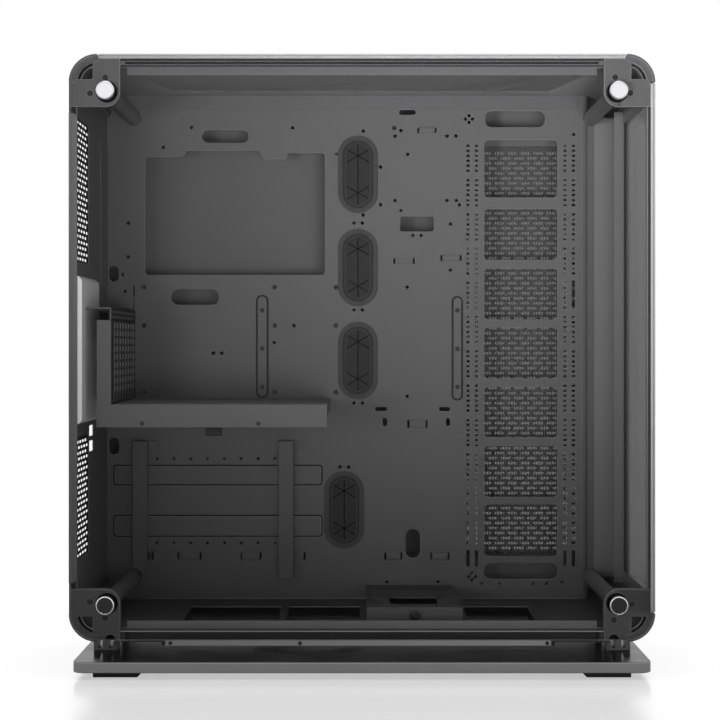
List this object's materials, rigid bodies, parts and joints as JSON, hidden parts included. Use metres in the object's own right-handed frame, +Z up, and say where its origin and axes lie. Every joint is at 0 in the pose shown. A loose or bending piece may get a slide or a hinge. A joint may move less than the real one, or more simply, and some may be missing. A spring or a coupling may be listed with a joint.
{
  "type": "computer case",
  "caption": "Full-tower computer case with glass on the left, top and front, rounded corner bars, standing on a glossy base plate.",
  "frame": {"origin": "floor level, under the middle of the base plate", "axes": "+X from the rear to the front, +Y from the glass side to the cover side, +Z up"},
  "size_m": [0.621, 0.26, 0.66],
  "materials": {
    "frame_coat": "satin powder coat",
    "base_coat": "gloss paint",
    "chassis_coat": "fine powder coat",
    "shield_coat": "satin powder coat",
    "post_steel": "satin black",
    "screw_steel": "polished",
    "port_metal": "bright",
    "black_plastic": "matte",
    "button_plastic": "satin",
    "board_green": "matte",
    "rubber": "matte",
    "glass": "clear"
  },
  "bodies": {
    "case": {"audio_jack": "black_plastic", "base_feet": "rubber", "base_plate": "base_coat", "bay_uprights": "chassis_coat", "bottom_panel": "chassis_coat", "bottom_side_rail": "chassis_coat", "button_switches": "black_plastic", "cable_grommets": "rubber", "cable_rails": "chassis_coat", "card_shelf": "chassis_coat", "corner_bars": "frame_coat", "corner_brackets": "frame_coat", "corner_posts": "post_steel", "drive_bracket": "chassis_coat", "drive_thumb_screw": "screw_steel", "filter_guides": "black_plastic", "floor_panel": "chassis_coat", "front_channel": "chassis_coat", "front_glass": "glass", "front_seal": "rubber", "front_strip": "chassis_coat", "front_wall": "chassis_coat", "glass_screws": "screw_steel", "left_glass": "glass", "motherboard_tray": "chassis_coat", "passage_cover": "chassis_coat", "port_board": "board_green", "rear_panel": "chassis_coat", "right_cover": "chassis_coat", "shelf_latch": "black_plastic", "slot_bracket": "chassis_coat", "slot_covers": "chassis_coat", "slot_shield": "shield_coat", "stand_clamps": "base_coat", "top_glass": "glass", "top_panel": "chassis_coat", "top_seal": "rubber", "top_side_rail": "chassis_coat", "top_strip": "chassis_coat", "usb_a_ports": "port_metal", "usb_c_port": "port_metal"},
    "power_button": {"power_button": "button_plastic"},
    "reset_button": {"reset_button": "button_plastic"},
    "filter": {"dust_filter": "black_plastic"}
  },
  "joints": [
    {"name": "power_press", "type": "slide", "parent": "case", "child": "power_button", "axis": [-1, 0, 0], "range_m": [0, 0.0015], "stiffness_N_per_m": 400},
    {"name": "reset_press", "type": "slide", "parent": "case", "child": "reset_button", "axis": [-1, 0, 0], "range_m": [0, 0.0015], "stiffness_N_per_m": 400},
    {"name": "filter_slide", "type": "slide", "parent": "case", "child": "filter", "axis": [0, -1, 0], "range_m": [0, 0.185]}
  ]
}
